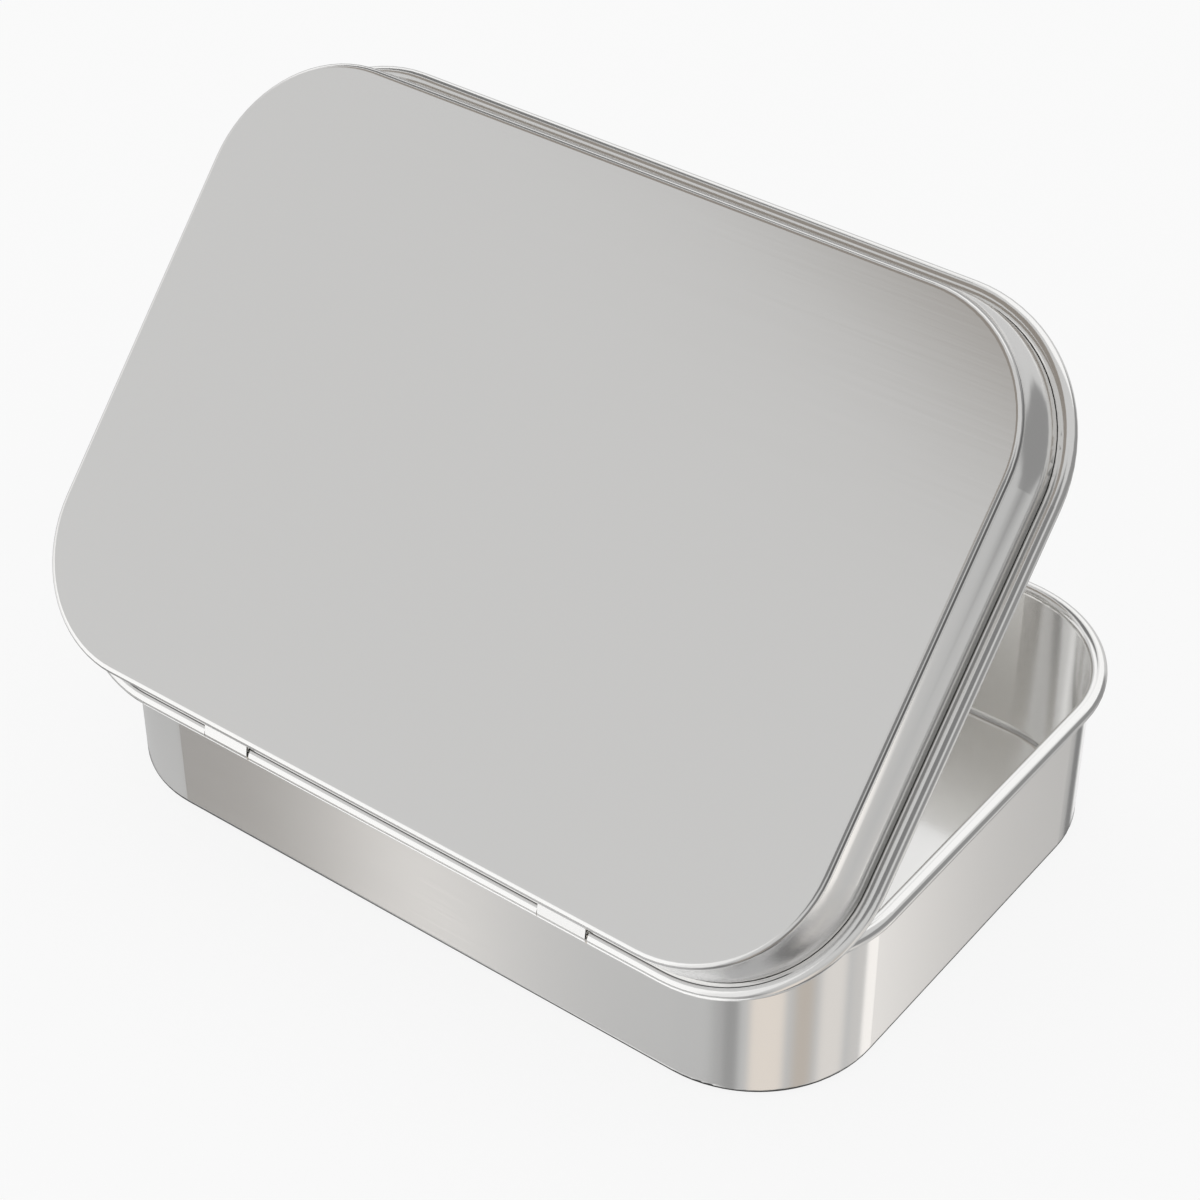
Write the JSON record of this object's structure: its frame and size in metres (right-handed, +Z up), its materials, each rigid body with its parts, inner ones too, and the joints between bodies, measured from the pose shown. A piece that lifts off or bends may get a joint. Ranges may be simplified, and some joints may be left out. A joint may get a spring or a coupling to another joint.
{
  "type": "hinged tin box",
  "caption": "Rounded-rectangular sheet-metal tin box with a rolled rim and a beaded lid standing open on rolled hinge knuckles.",
  "frame": {"origin": "centre of the underside of the box", "axes": "+Z up; X along the long side and along the hinge line; -Y is the opening side and +Y the hinge side"},
  "size_m": [0.1024, 0.0756, 0.0743],
  "materials": {
    "tinplate_base": "plain bright tinplate, satin",
    "tinplate_lid": "plain bright tinplate, satin"
  },
  "bodies": {
    "base": {"base": "tinplate_base"},
    "lid": {"lid": "tinplate_lid"}
  },
  "joints": [
    {"name": "lid_hinge", "type": "hinge", "parent": "base", "child": "lid", "pos_m": [0, 0.03585, 0.01715], "axis": [-1, 0, 0], "range_deg": [-47.3, 52.7]}
  ]
}
